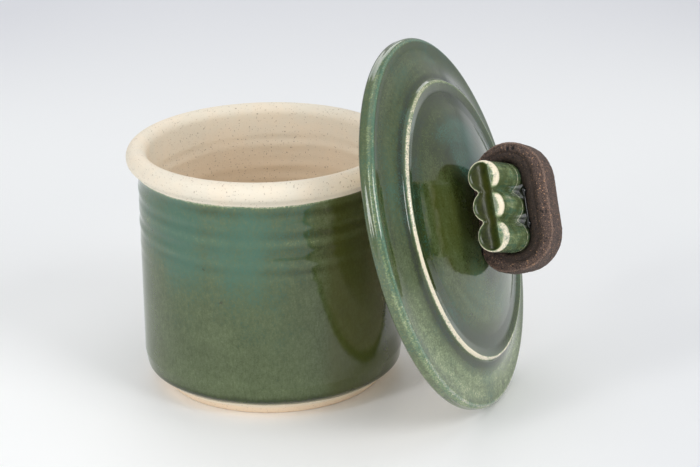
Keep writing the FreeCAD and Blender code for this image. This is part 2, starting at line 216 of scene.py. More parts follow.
class Number:
    """A number in a node tree. Arithmetic on it adds Math nodes."""

    def __init__(self, tree, socket):
        self.tree = tree
        self.socket = socket

    def math(self, name, *others):
        links = dict(enumerate((self,) + others))
        return Number(self.tree, node(self.tree, "ShaderNodeMath", links, operation=name).outputs[0])

    __add__ = __radd__ = operation("ADD")
    __mul__ = __rmul__ = operation("MULTIPLY")
    __sub__ = operation("SUBTRACT")
    __truediv__ = operation("DIVIDE")
    most = operation("MAXIMUM")
    sine = operation("SINE")
    cosine = operation("COSINE")
    root = operation("SQRT")
    size = operation("ABSOLUTE")

    def __neg__(self):
        return self * -1

    def __rsub__(self, other):
        return self * -1 + other

    def ramp(self, low, high, out_low=0.0, out_high=1.0):
        """A smooth step from one value to another as this number goes from low to high."""
        links = {"Value": self, "From Min": low, "From Max": high, "To Min": out_low, "To Max": out_high}
        step = node(self.tree, "ShaderNodeMapRange", links, interpolation_type="SMOOTHSTEP")
        return Number(self.tree, step.outputs["Result"])

    def bump(self, middle, width):
        """1 at the middle, falling to 0 at this distance from it."""
        return (self - middle).size().ramp(0.0, width, 1.0, 0.0)


def plug(tree, slot, item):
    """Give a slot its value, or a link from a number or a socket."""
    if isinstance(item, Number):
        item = item.socket
    if isinstance(item, bpy.types.NodeSocket):
        tree.links.new(item, slot)
    else:
        slot.default_value = item


def node(tree, kind, links=None, **settings):
    """A new node with these settings, and with these slots plugged."""
    made = tree.nodes.new(kind)
    for key, value in settings.items():
        setattr(made, key, value)
    for key, item in (links or {}).items():
        plug(tree, made.inputs[key], item)
    return made


def noise(tree, vector, scale, detail=3.0, rough=0.5, stretch=None, seed=0.0):
    """Noise from 0 to 1 about a point; stretch is how many times finer it is along each axis."""
    if stretch or seed:
        links = {0: vector, 1: stretch or (1, 1, 1), 2: (seed, seed * 0.7, -seed)}
        vector = node(tree, "ShaderNodeVectorMath", links, operation="MULTIPLY_ADD").outputs[0]
    links = {"Vector": vector, "Scale": scale, "Detail": detail, "Roughness": rough}
    return Number(tree, node(tree, "ShaderNodeTexNoise", links).outputs[0])


def parts(tree, vector):
    return [Number(tree, part) for part in node(tree, "ShaderNodeSeparateXYZ", {0: vector}).outputs]


def join(tree, x, y, z):
    return node(tree, "ShaderNodeCombineXYZ", {0: x, 1: y, 2: z}).outputs[0]


def mixed(tree, share, first, second):
    """A colour between two colours, each a node socket or (r, g, b)."""
    links = {"Factor": share}
    for slot, item in ((6, first), (7, second)):
        links[slot] = item if isinstance(item, bpy.types.NodeSocket) else (*item, 1.0)
    return node(tree, "ShaderNodeMix", links, data_type="RGBA").outputs[2]


# ---------------------------------------------------------------- outlines

def arc_corner(before, corner, after, radius, steps=10):
    """Points of the arc of this radius that rounds a corner between two straight runs."""
    before, corner, after = (np.array(p, float) for p in (before, corner, after))
    into = (before - corner) / np.linalg.norm(before - corner)
    out = (after - corner) / np.linalg.norm(after - corner)
    half = math.acos(np.clip(into @ out, -1, 1)) / 2
    middle_way = (into + out) / np.linalg.norm(into + out)
    centre = corner + middle_way * radius / math.sin(half)
    start = corner + into * radius / math.tan(half) - centre
    end = corner + out * radius / math.tan(half) - centre
    turn = math.atan2(start[0] * end[1] - start[1] * end[0], start @ end)
    angles = math.atan2(start[1], start[0]) + np.linspace(0, turn, steps)
    return [tuple(centre + radius * np.array([math.cos(a), math.sin(a)])) for a in angles]


def rounded(corners):
    """Points of an open outline; each corner is (across, up, radius of its rounding)."""
    points = []
    for i, (x, y, radius) in enumerate(corners):
        if radius > 0:
            points += arc_corner(corners[i - 1][:2], (x, y), corners[i + 1][:2], radius)
        else:
            points.append((x, y))
    return points


def arc_through(start, middle, end, steps=12):
    """Points along a gentle arc, as the parabola through three points."""
    share = np.linspace(0, 1, steps)[:, None]
    start, middle, end = (np.array(p, float) for p in (start, middle, end))
    pull = 2 * middle - (start + end) / 2
    curve = start * (1 - share) ** 2 + 2 * pull * share * (1 - share) + end * share ** 2
    return [tuple(p) for p in curve]


def cap(foot_radius, foot_height, top_height, steps=16):
    """Points of a sphere's section, from a foot circle to the axis."""
    rise = top_height - foot_height
    radius = (foot_radius ** 2 + rise ** 2) / (2 * rise)
    half_turn = math.asin(foot_radius / radius)
    return [(radius * math.sin(a), top_height - radius * (1 - math.cos(a)))
            for a in np.linspace(half_turn, 0, steps)]


def jar_section():
    """The jar's wall as (radius, height), from under the foot, up outside and down inside."""
    recess = FOOT_RADIUS - FOOT_RING
    roll_middle = RIM_RADIUS - RIM_ROLL
    points = [(0, FOOT_RECESS), (recess - FOOT_RECESS, FOOT_RECESS), (recess - 0.4 * MM, 0.3 * MM)]
    points += rounded([
        (recess, 0, 0),
        (FOOT_RADIUS, 0, FOOT_EDGE),
        (TRIM_RADIUS, TRIM_HEIGHT, TRIM_EDGE),
        (BELLY_RADIUS - HEEL_INSET, HEEL_HEIGHT - HEEL_ROUND, HEEL_ROUND),
        (BELLY_RADIUS - 0.1 * MM, HEEL_HEIGHT + 4 * MM, 0),
    ])
    shoulder = (SHOULDER_RADIUS, NECK_HEIGHT)
    meet = (roll_middle + RIM_ROLL * math.cos(ROLL_UNDERCUT),
            RIM_HEIGHT + RIM_ROLL * math.sin(ROLL_UNDERCUT))
    neck = (shoulder[0] + (meet[0] - shoulder[0]) * 0.22, shoulder[1] + (meet[1] - shoulder[1]) * 0.6)
    points += [shoulder]
    points += arc_through(shoulder, neck, meet)
    points += [(roll_middle + RIM_ROLL * math.cos(a), RIM_HEIGHT + RIM_ROLL * math.sin(a))
               for a in np.linspace(ROLL_UNDERCUT, math.pi, 28)]
    inside = SHOULDER_RADIUS - WALL
    points += [(inside, NECK_HEIGHT - 2 * MM)]
    points += arc_corner((inside, NECK_HEIGHT), (BELLY_RADIUS - WALL, FLOOR_HEIGHT),
                         (0, FLOOR_HEIGHT), INNER_CORNER)
    return points + [(0, FLOOR_HEIGHT)]


def lid_section():
    """The lid's section as (radius, height over the plane under its edge), from below to the top."""
    lower = LID_RADIUS - SKIN - EDGE_TAPER
    upper = LID_RADIUS - SKIN
    lip = lower - EDGE_LIP_WIDTH
    tip = SEAT_HEIGHT - FLANGE_DEPTH
    flange_in = FLANGE_RADIUS - FLANGE_WIDTH
    points = list(reversed(cap(flange_in, SEAT_HEIGHT, SEAT_HEIGHT + LID_HOLLOW)))
    points += rounded([
        (flange_in, SEAT_HEIGHT, 0),
        (flange_in, tip, FLANGE_ROUND),
        (FLANGE_RADIUS, tip, FLANGE_ROUND),
        (FLANGE_RADIUS + FLANGE_DRAFT, SEAT_HEIGHT, SEAT_ROUND),
        (lip - SEAT_HEIGHT, SEAT_HEIGHT, SEAT_ROUND),
        (lip, 0, SEAT_ROUND),
        (lower, 0, EDGE_ROLL),
        (upper - EDGE_GROOVE, EDGE_THICKNESS / 2, EDGE_GROOVE_ROUND),
        (upper, EDGE_THICKNESS, EDGE_ROLL),
        (BRIM_BEND, EDGE_THICKNESS - EDGE_FALL, BRIM_ROUND),
        (TIER_RADIUS + RIDGE_WIDTH, TIER_TOP - RIDGE_RISE, RIDGE_FOOT_ROUND),
        (TIER_RADIUS, TIER_TOP, RIDGE_ROUND),
        (TIER_RADIUS - TIER_BEAD, TIER_TOP - TIER_HOLLOW, TIER_HOLLOW_ROUND),
        (DOME_FOOT, TIER_TOP + DOME_FOOT_RISE, 0),
    ])
    return points + cap(DOME_FOOT, TIER_TOP + DOME_FOOT_RISE, DOME_TOP)[1:]


# ---------------------------------------------------------------- Geometry Nodes

def new_tree(name, inputs):
    """A geometry tree with named number inputs; returns it, its input node and its output node."""
    tree = bpy.data.node_groups.new(name, "GeometryNodeTree")
    tree.interface.new_socket("Geometry", in_out="INPUT", socket_type="NodeSocketGeometry")
    for key, kind in inputs.items():
        tree.interface.new_socket(key, in_out="INPUT", socket_type=kind)
    tree.interface.new_socket("Geometry", in_out="OUTPUT", socket_type="NodeSocketGeometry")
    return tree, tree.nodes.new("NodeGroupInput"), tree.nodes.new("NodeGroupOutput")


def finish_tree(tree, geometry, output, material):
    """Every tree ends the same way: instances made real, and the material set."""
    real = node(tree, "GeometryNodeRealizeInstances", {"Geometry": geometry})
    smooth = node(tree, "GeometryNodeSetShadeSmooth", {"Geometry": real.outputs[0]})
    painted = node(tree, "GeometryNodeSetMaterial", {"Geometry": smooth.outputs[0], "Material": material})
    tree.links.new(painted.outputs[0], output.inputs[0])


def linked(name, data):
    """A new item of the scene that shows this data."""
    item = bpy.data.objects.new(name, data)
    bpy.context.scene.collection.objects.link(item)
    return item


def grown(name, mesh, tree, values):
    """A plain mesh piece: what the tree makes of a mesh, with the modifier gone."""
    source = linked(name + "_source", mesh)
    modifier = source.modifiers.new("grow", "NODES")
    modifier.node_group = tree
    for item in tree.interface.items_tree:
        if item.in_out == "INPUT" and item.name in values:
            modifier[item.identifier] = values[item.name]
    seen = source.evaluated_get(bpy.context.evaluated_depsgraph_get())
    result = bpy.data.meshes.new_from_object(seen)
    bpy.data.objects.remove(source)
    bpy.data.meshes.remove(mesh)
    result.name = name
    return linked(name, result)


def line_mesh(points):
    mesh = bpy.data.meshes.new("section")
    mesh.from_pydata([(x, 0, z) for x, z in points], [(i, i + 1) for i in range(len(points) - 1)], [])
    return mesh


def wrapped(tree, turn, height, stretch):
    """A noise point that meets itself after a full turn; height is stretched by this much."""
    return join(tree, turn.cosine(), turn.sine(), height * stretch)


def turned_tree(material):
    """Clay turned on a wheel: a section swept round Z, with throwing rings and the hand's wobble."""
    floats = ("Ring Pitch", "Ring Depth", "Rings From", "Rings To", "Rings End",
              "Wobble", "Warp", "Fine", "Seed")
    inputs = {"Rows": "NodeSocketInt", "Columns": "NodeSocketInt"}
    inputs.update({key: "NodeSocketFloat" for key in floats})
    tree, given, output = new_tree("turned_clay_" + material.name, inputs)
    value = {key: Number(tree, given.outputs[key]) for key in floats}
    section = node(tree, "GeometryNodeMeshToCurve", {0: given.outputs["Geometry"]})
    sheet = node(tree, "GeometryNodeMeshGrid", {
        "Size X": 1.0, "Size Y": 1.0, "Vertices X": given.outputs["Rows"],
        "Vertices Y": given.outputs["Columns"]})
    across, along, _ = parts(tree, node(tree, "GeometryNodeInputPosition").outputs[0])
    turn = (along + 0.5) * (2 * math.pi)
    spot = node(tree, "GeometryNodeSampleCurve",
                {"Curves": section.outputs[0], "Factor": across + 0.5}, mode="FACTOR")
    radius, _, height = parts(tree, spot.outputs["Position"])
    round_spot = wrapped(tree, turn, height, RING_STRETCH)
    rings = throwing_rings(tree, turn, height, value["Ring Pitch"], value["Seed"])
    ring_share = height.ramp(value["Rings From"], value["Rings To"]) \
        * height.ramp(value["Rings End"], value["Rings End"] + RINGS_FADE, 1.0, 0.0)
    near_axis = radius.ramp(0.0, 0.03)      # nothing moves at the axis itself
    ring = rings * value["Ring Depth"] * ring_share
    hand = (noise(tree, round_spot, 0.9, 2.0, seed=7.7) - 0.5) * value["Wobble"]
    fine = noise(tree, wrapped(tree, turn, radius + height, 160), 2.2, 3.0) - 0.5
    shifted = radius + (ring + hand + fine * value["Fine"]) * near_axis
    plan = join(tree, radius * turn.cosine(), radius * turn.sine(), 0.0)
    warp = (noise(tree, plan, 16.0, 1.0, seed=5.2) - 0.5) * value["Warp"] * near_axis
    placed = node(tree, "GeometryNodeSetPosition", {
        "Geometry": sheet.outputs["Mesh"],
        "Position": join(tree, shifted * turn.cosine(), shifted * turn.sine(), height + warp)})
    closed = node(tree, "GeometryNodeMergeByDistance",
                  {"Geometry": placed.outputs[0], "Distance": 0.00002})
    finish_tree(tree, closed.outputs[0], output, material)
    return tree


# ---------------------------------------------------------------- materials

def srgb(red, green, blue):
    """A colour given as a screen shows it, 0 to 255, as the linear numbers that a shader takes."""
    return tuple(c / 255 / 12.92 if c <= 10 else ((c / 255 + 0.055) / 1.055) ** 2.4
                 for c in (red, green, blue))


CREAM = srgb(234, 225, 207)
CREAM_PINK = srgb(250, 228, 200)
CLAY_SPECK = srgb(112, 78, 46)
DARK_CLAY = srgb(42, 31, 27)
DARK_CLAY_LIGHT = srgb(112, 89, 78)
PAINTED_EDGE_HIGHLIGHT = srgb(156, 128, 112)
GROG = srgb(206, 158, 118)
TEAL = srgb(66, 112, 96)
OLIVE = srgb(68, 72, 20)
GLAZE_PIT = srgb(40, 44, 24)
CRACK = srgb(14, 10, 9)
BEAD_DARK = srgb(8, 10, 10)
BEAD_LIGHT = srgb(22, 28, 22)
FLOOR_PAINTED_LIGHT = srgb(252, 252, 252)           # painted light under and round the jar
FLOOR_PALE = srgb(241, 242, 243)
# painted shade far off and on the right near the front
FLOOR_PAINTED_SHADE = srgb(220, 221, 226)
PAINTED_LID_SHADE_SIDE = -0.42              # directions round the jar: beside the lid, where painted shade and a painted reflection of the lid fall,
TEAL_PATCH = -2.05             # and where its glaze breaks to teal
CREST_SIDE = -2.9              # directions round the lid: where its ridge is barest,
LOW_SIDE = -1.9                # its lower side, where its edge takes a painted reflection of the floor,
PALE_EDGE_SIDE = 2.4                # where the side of its edge is paler,
TEAL_SIDE, HANDLE_REFLECTION_SIDE = 1.56, 2.7          # where its dome is teal, and olive with a painted reflection of the handle,
DOME_REFLECTION_SIDE = -1.6          # and where dome and brim are paler with painted reflections
BRIM_REFLECTION_SIDE = -1.95
GLAZE_IOR = 1.58
LID_IOR = 1.7                  # the lid mirrors more than the jar,
BAR_IOR = 1.42                 # and the bar less
GLAZE_ROUGHNESS = 0.10
CLAY_ROUGHNESS = 0.72
GLAZE_STOPS = (                # what the glaze looks like from a thin film to a deep pool
    (0.00, srgb(240, 228, 202)),
    (0.20, srgb(136, 152, 108)),
    (0.36, srgb(92, 106, 70)),
    (0.62, srgb(58, 71, 33)),
    (0.82, srgb(36, 47, 19)),
    (1.00, srgb(13, 19, 11)),
)


def new_material(name):
    material = bpy.data.materials.new(name)
    material.use_nodes = True
    return material, material.node_tree, material.node_tree.nodes["Principled BSDF"]


def attribute(tree, name):
    """A number that the mesh holds for each of its points."""
    return Number(tree, node(tree, "ShaderNodeAttribute", attribute_name=name).outputs["Fac"])


def own_point(tree, axes=None, place=None):
    """Object coordinates, or the same turned to a leaning piece's own axes."""
    socket = node(tree, "ShaderNodeTexCoord").outputs["Object"]
    if axes is None:
        return socket
    links = {"Vector": socket, "Location": place, "Rotation": axes.to_euler()}
    return node(tree, "ShaderNodeMapping", links, vector_type="TEXTURE").outputs[0]


def glaze_colour(tree, depth):
    ramp = node(tree, "ShaderNodeValToRGB", {"Fac": depth})
    stops = ramp.color_ramp.elements
    stops[0].position, stops[1].position = GLAZE_STOPS[0][0], GLAZE_STOPS[-1][0]
    for place, _ in GLAZE_STOPS[1:-1]:
        stops.new(place)
    for stop, (place, colour) in zip(stops, GLAZE_STOPS):
        stop.position = place
        stop.color = (*colour, 1.0)
    return ramp.outputs["Color"]


def finish_shader(tree, shader, colour, rough, height, depth_of_bump, ior=GLAZE_IOR):
    bump = node(tree, "ShaderNodeBump", {"Height": height, "Strength": 1.0, "Distance": depth_of_bump})
    values = {"Base Color": colour, "Roughness": rough, "Normal": bump.outputs[0], "IOR": ior}
    for key, item in values.items():
        plug(tree, shader.inputs[key], item)


def clay_and_glaze(tree, shader, point, depth, bare, tint, fibres, ripple=1.0, satin=0.0,
                   clay=CREAM, ior=GLAZE_IOR):
    """Glaze of a given depth where bare is 0, and plain clay where it is 1.

    A tint over 0 turns the glaze teal in patches, one under 0 turns it olive.
    """
    fine = noise(tree, point, 1500, 2.0, 0.6) - 0.5
    grain = noise(tree, point, 420, 4.0, 0.65) - 0.5
    specks = noise(tree, point, 1250, 1.0, seed=0.3).ramp(0.67, 0.73)
    pits = noise(tree, point, 260, 2.0, seed=0.9).ramp(0.74, 0.80)
    mottle = noise(tree, point, 90, 5.0, 0.7, seed=0.17) - 0.5
    deep = depth + mottle * 0.28 + grain * 0.26 + fine * 0.34 + fibres * 0.34
    glaze = glaze_colour(tree, deep)
    cloud = (tint + fine * 1.1 + fibres * 0.9 + mottle * 0.7).ramp(0.1, 0.9)
    glaze = mixed(tree, cloud * 0.70, glaze, TEAL)
    glaze = mixed(tree, (-tint).ramp(0.1, 1.0) * 0.65, glaze, OLIVE)
    glaze = mixed(tree, pits * 0.5, glaze, GLAZE_PIT)
    clay_mottle = noise(tree, point, 60, 4.0, 0.6, seed=0.5).ramp(0.35, 0.7)
    bare_clay = mixed(tree, clay_mottle * 0.35, clay, CREAM_PINK)
    bare_clay = mixed(tree, specks * 0.55, bare_clay, CLAY_SPECK)
    colour = mixed(tree, bare, glaze, bare_clay)
    rough = bare * (CLAY_ROUGHNESS - GLAZE_ROUGHNESS) + GLAZE_ROUGHNESS \
        + mottle * 0.05 + grain * 0.06 + satin
    height = (1 - bare) * 0.75 + bare * (grain * 0.5 + fine * 0.3 - specks * 0.4) \
        + (1 - bare) * (mottle * 0.22 + grain * 0.07 - pits * 0.15) * ripple
    finish_shader(tree, shader, colour, rough, height, 0.28 * MM, ior)


def throwing_rings(tree, turn, height, pitch, seed):
    """Height of the throwing rings at this spot, about -1 to 1: a spiral, uneven round the jar."""
    spot = wrapped(tree, turn, height, RING_STRETCH)
    sway = noise(tree, spot, 1.1, 1.0, seed=3.1) - 0.5
    phase = (height / pitch + turn / (2 * math.pi) + sway * RING_SWAY + seed) * (2 * math.pi)
    strength = noise(tree, spot, 1.7, 1.0, seed=6.4).ramp(0.3, 0.65, 0.35, 1.0)
    return (phase.sine() + (phase * 1.62 + 0.8).sine() * 0.55) * strength * 0.75


def jar_material():
    material, tree, shader = new_material("jar_glaze_and_clay")
    point = own_point(tree)
    x, y, z = parts(tree, point)
    x = x - z * (RIM_DRIFT / RIM_HEIGHT)
    radius = (x * x + y * y).root()
    turn = y.math("ARCTAN2", x)
    around = wrapped(tree, turn, z, 4)
    uneven = noise(tree, around, 2.4, 4.0, 0.6) - 0.5
    fibres = noise(tree, join(tree, turn.cosine() * 9, turn.sine() * 9, z * 50), 7.0, 4.0, 0.7) - 0.5
    # where the glaze lies
    outside = radius.ramp(GLAZE_INNER, GLAZE_INNER + 0.6 * MM) \
        .most(z.ramp(TRIM_HEIGHT + 6 * MM, TRIM_HEIGHT, 0, 1))
    top_line = z + uneven * (1.6 * MM)
    foot_line = z + uneven * (3.2 * MM)
    covered = outside * top_line.ramp(GLAZE_TOP - 0.25 * MM, GLAZE_TOP + 0.25 * MM, 1, 0) \
        * foot_line.ramp(GLAZE_FOOT - 0.2 * MM, GLAZE_FOOT + 0.2 * MM)
    # how deep it is: thin on the rings and at its edges, pooled above the foot, and deeper beside the lid
    # as painted shade
    ring = throwing_rings(tree, turn, z, RING_PITCH, 0.0) * z.ramp(RINGS_FOOT, RINGS_FULL)
    # painted shade and a painted reflection of the lid, on the side of the jar beside it
    painted_lid_shade = (turn - PAINTED_LID_SHADE_SIDE).size().ramp(0.5, 0.85, 1, 0)
    depth = 0.50 - ring * 0.13 + painted_lid_shade * 0.08 \
        + foot_line.bump(GLAZE_FOOT + 3.2 * MM, 3.2 * MM) * 0.26 \
        - foot_line.bump(GLAZE_FOOT + 0.2 * MM, 0.9 * MM) * 0.50 \
        - foot_line.bump(GLAZE_FOOT + 11 * MM, 7.0 * MM) * 0.06 \
        - top_line.bump(GLAZE_TOP, 1.6 * MM) * 0.30
    # teal above and in one patch; olive beside the lid, as painted shade and a painted reflection of the
    # lid
    clouds = noise(tree, around, 1.5, 3.0, 0.6, seed=2.2) - 0.5
    patch = (turn - TEAL_PATCH).size().ramp(0.2, 0.9, 1, 0) * z.bump(78 * MM, 44 * MM)
    teal = z.ramp(52 * MM, 100 * MM) * 0.50 + patch * 0.45 + clouds * 1.2 - painted_lid_shade * 1.3 \
        - z.ramp(45 * MM, 20 * MM) * 0.2
    inside = radius.ramp(59 * MM, 56 * MM) * z.ramp(RIM_HEIGHT, RIM_HEIGHT - 40 * MM)
    clay = mixed(tree, inside, CREAM, CREAM_PINK)
    clay_and_glaze(tree, shader, point, depth, 1 - covered, teal, fibres, clay=clay)
    return material


def lid_material(axes, place):
    material, tree, shader = new_material("lid_glaze_and_clay")
    point = own_point(tree, axes, place)
    x, y, h = parts(tree, point)
    turn = y.math("ARCTAN2", x)
    around = wrapped(tree, turn, h, 4)
    uneven = noise(tree, around, 2.2, 4.0, 0.6) - 0.5
    radius = (x * x + y * y).root() + uneven * (0.8 * MM)

    def towards(direction, low, high, least=0.0, most=1.0):
        """A smooth step by how near this spot's turn is to a direction on the lid."""
        return (turn - direction).cosine().ramp(low, high, least, most)

    # bare clay: under a line that falls outwards from the flange, and inside the lip
    line = radius.ramp(55 * MM, 70 * MM, 13 * MM, 4 * MM)
    lip = LID_RADIUS - EDGE_TAPER - EDGE_LIP_WIDTH
    under = (h - line).ramp(-0.1 * MM, 0.1 * MM, 1, 0) \
        * radius.ramp(lip - 0.6 * MM, lip + 0.4 * MM, 1, 0)
    # the ridge is bare at its crest; glaze pools at its foot and in the dip inside it
    high = h.ramp(TIER_TOP - 1.8 * MM, TIER_TOP - 0.8 * MM)
    crest = radius.ramp(TIER_RADIUS - 1.4 * MM, TIER_RADIUS - 0.5 * MM) \
        * h.ramp(TIER_TOP - 2.0 * MM, TIER_TOP - 0.9 * MM) * towards(CREST_SIDE, -0.4, 0.8, 0.5, 1.0)
    pool = radius.bump(TIER_RADIUS + RIDGE_WIDTH + 1.2 * MM, 2.6 * MM)
    dip = radius.bump(TIER_RADIUS - 8.0 * MM, 8.0 * MM) * high
    # the glaze is thin at the edge and on its crest line; the side of the edge is paler in one direction,
    # and its lower side is lighter with a painted reflection of the floor
    edge_top = h.ramp(4.2 * MM, 6.2 * MM)
    corner = radius.ramp(LID_RADIUS - 4.2 * MM, LID_RADIUS - 1.6 * MM) * edge_top
    crest_line = radius.bump(LID_RADIUS - 2.2 * MM, 0.9 * MM) * edge_top
    painted_low_edge_reflection = (turn - LOW_SIDE).cosine().most(0.0) * radius.ramp(LID_RADIUS - 6 * MM, LID_RADIUS - 1 * MM)
    side = radius.ramp(LID_RADIUS - 1.3 * MM, LID_RADIUS - 0.6 * MM) * towards(PALE_EDGE_SIDE, 0.0, 0.9)
    # broad patches, and painted reflections on dome and brim
    clouds = noise(tree, point, 26, 3.0, 0.6, seed=1.3) - 0.5
    bands = noise(tree, wrapped(tree, turn, radius, 120), 1.3, 3.0, 0.6, seed=4.4) - 0.5
    dome = radius.ramp(56 * MM, 46 * MM)
    dome_teal = dome * towards(TEAL_SIDE, 0.5, 0.95)
    # painted reflection of the handle: the dome is olive and paler on that side
    painted_handle_reflection = dome * towards(HANDLE_REFLECTION_SIDE, 0.5, 0.95)
    # paler painted reflections low on the dome and on the brim
    painted_dome_reflection = dome * towards(DOME_REFLECTION_SIDE, 0.2, 0.95)
    painted_brim_reflection = radius.ramp(TIER_RADIUS + 3 * MM, TIER_RADIUS + 9 * MM) \
        * radius.ramp(LID_RADIUS - 1 * MM, LID_RADIUS - 8 * MM, 0.55, 1.0) \
        * towards(BRIM_REFLECTION_SIDE, -0.1, 1.0)
    depth = 0.56 - crest * (0.62 + uneven * 0.2) + pool * 0.25 + dip * 0.20 - corner * 0.14 \
        - crest_line * 0.22 - painted_low_edge_reflection * 0.04 - painted_brim_reflection * 0.29 - side * 0.16 \
        + clouds * 0.24 + bands * 0.34 + dome_teal * 0.22 - painted_handle_reflection * 0.10 - painted_dome_reflection * 0.14
    teal = clouds * 1.4 + 0.14 + crest_line * 0.6 + corner * 0.2 - bands * 0.5 \
        + dome_teal * 0.5 - painted_handle_reflection * 0.9
    fibres = (noise(tree, point, 1100, 3.0, 0.7, seed=0.6) - 0.5) * 1.5
    clay_and_glaze(tree, shader, point, depth, under, teal, fibres, ior=LID_IOR)
    return material


def bar_material(axes, place):
    material, tree, shader = new_material("bar_glaze")
    point = own_point(tree, axes, place)
    lip, pool = attribute(tree, "lip"), attribute(tree, "pool")
    x, _, _ = parts(tree, point)
    fibres = noise(tree, point, 1.0, 3.0, 0.6, stretch=(50, 600, 600)) - 0.5
    at_loop = x.size().bump(LOOP_THICKNESS / 2 + 0.3 * MM, 0.8 * MM)
    lobe = noise(tree, point, 110, 2.0, seed=2.6) - 0.5
    depth = 0.34 - lip * 0.46 + pool * 0.56 - at_loop * (fibres * 2 + 0.7).ramp(0.3, 0.9) * 0.45 \
        + lobe * 0.5 * (1 - pool) * (1 - lip)
    teal = 0.25 - pool * 0.9 + fibres * 0.8 - lobe * 1.6
    clay_and_glaze(tree, shader, point, depth, depth * 0, teal, fibres,
                   ripple=0.3, satin=pool * 0.14, ior=BAR_IOR)
    return material


def dark_clay_material():
    material, tree, shader = new_material("dark_groggy_clay")
    point = own_point(tree)
    edge, crack, inner = (attribute(tree, name) for name in ("edge", "crack", "inner"))
    coarse = noise(tree, point, 240, 5.0, 0.7)
    grain = noise(tree, point, 2600, 2.0, 0.6, seed=0.4)
    grog = noise(tree, point, 1350, 1.0, seed=0.8).ramp(0.66, 0.70)
    pits = noise(tree, point, 800, 2.0, seed=1.9).ramp(0.62, 0.68)
    tone = (coarse * 0.15 + grain * 0.85).ramp(0.41, 0.60)
    colour = mixed(tree, tone, DARK_CLAY, DARK_CLAY_LIGHT)
    # painted highlight along the crown of the outer edges, broken up by the grain
    colour = mixed(tree, edge * (grain * 1.4).ramp(0.4, 0.8) * 0.75, colour, PAINTED_EDGE_HIGHLIGHT)
    colour = mixed(tree, grog * 0.85, colour, GROG)
    # painted shade, darker towards the hole where the roll turns in
    colour = mixed(tree, inner * 0.6, colour, DARK_CLAY)
    colour = mixed(tree, (pits * 0.8).most(crack.ramp(0.25, 0.6)), colour, CRACK)
    rough = CLAY_ROUGHNESS + (grain - 0.5) * 0.3
    height = coarse * 0.4 + grain * 0.7 + grog * 0.3 - pits * 0.8
    finish_shader(tree, shader, colour, rough, height, 0.6 * MM)
    return material


def pool_material():
    material, tree, shader = new_material("pooled_glaze")
    mottle = noise(tree, own_point(tree), 160, 4.0, 0.6)
    colour = mixed(tree, mottle.ramp(0.35, 0.8), BEAD_DARK, BEAD_LIGHT)
    finish_shader(tree, shader, colour, 0.05 + mottle * 0.04, mottle, 0.02 * MM)
    return material


# ---------------------------------------------------------------- where the lid leans

def lean_axes():
    """The lid's sideways, upslope and outward axes, as the columns of a matrix."""
    level = Vector((math.cos(LEAN_BEARING), math.sin(LEAN_BEARING), 0))
    outward = level * math.cos(LEAN_TILT) + Vector((0, 0, math.sin(LEAN_TILT)))
    sideways = Vector((0, 0, 1)).cross(level)
    return Matrix((sideways, outward.cross(sideways), outward)).transposed()


def lean_place(axes):
    """The middle of the plane under the lid's edge, from the extents of the lid's node along its axes."""
    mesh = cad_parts["lid"].data
    spots = np.empty(len(mesh.vertices) * 3)
    mesh.vertices.foreach_get("co", spots)
    along = spots.reshape(-1, 3) @ np.array(axes)
    low, high = along.min(0), along.max(0)
    own = Vector(((low[0] + high[0]) / 2, (low[1] + high[1]) / 2, high[2] - DOME_TOP))
    return axes @ own


def yawed(axes, turn):
    return axes @ Matrix.Rotation(turn, 3, "Z")


def placed(axes, place):
    return Matrix.Translation(place) @ axes.to_4x4()


# ---------------------------------------------------------------- meshes

def finished(mesh, transform=None):
    """Doubles merged, faces outwards, set in place and smooth."""
    work = bmesh.new()
    work.from_mesh(mesh)
    bmesh.ops.remove_doubles(work, verts=work.verts, dist=0.004 * MM)
    bmesh.ops.dissolve_degenerate(work, edges=work.edges, dist=0.001 * MM)
    bmesh.ops.recalc_face_normals(work, faces=work.faces)
    work.to_mesh(mesh)
    work.free()
    if transform:
        mesh.transform(transform)
    mesh.shade_smooth()
    mesh.update()
    return mesh


def skin(name, rows, closed_rows=False, attributes=None):
    """A mesh over rows of points; each row is a closed ring of the same number of points."""
    rows = np.asarray(rows)
    count, across = rows.shape[:2]
    index = np.arange(count * across).reshape(count, across)
    lower = index if closed_rows else index[:-1]
    upper = np.roll(index, -1, 0) if closed_rows else index[1:]
    faces = np.stack([lower, np.roll(lower, -1, 1), np.roll(upper, -1, 1), upper], -1).reshape(-1, 4)
    mesh = bpy.data.meshes.new(name)
    mesh.from_pydata(rows.reshape(-1, 3).tolist(), [], faces.tolist())
    for key, values in (attributes or {}).items():
        layer = mesh.attributes.new(key, "FLOAT", "POINT")
        layer.data.foreach_set("value", np.asarray(values, float).ravel())
    return mesh


def relief_tree(material):
    """Uneven clay: every point moves along its normal by broad lumps, fine grain and pits."""
    tree, given, output = new_tree("uneven_" + material.name, {key: "NodeSocketFloat" for key in RELIEF})
    value = {key: Number(tree, given.outputs[key]) for key in RELIEF}
    spot = node(tree, "GeometryNodeInputPosition").outputs[0]
    seeded = node(tree, "ShaderNodeVectorMath", {0: spot, 1: join(tree, value["Seed"], 0.0, 0.0)})
    lumps = noise(tree, seeded.outputs[0], value["Lumps"], 3.0) - 0.5
    grain = noise(tree, seeded.outputs[0], value["Grain"], 2.0) - 0.5
    pits = noise(tree, seeded.outputs[0], value["Grain"] * 0.7, 1.0, seed=0.6).ramp(0.70, 0.80)
    height = lumps * value["Lump Depth"] + grain * value["Grain Depth"] - pits * value["Pit Depth"]
    push = node(tree, "ShaderNodeVectorMath",
                {0: node(tree, "GeometryNodeInputNormal").outputs[0], "Scale": height}, operation="SCALE")
    moved = node(tree, "GeometryNodeSetPosition",
                 {"Geometry": given.outputs["Geometry"], "Offset": push.outputs[0]})
    finish_tree(tree, moved.outputs[0], output, material)
    return tree


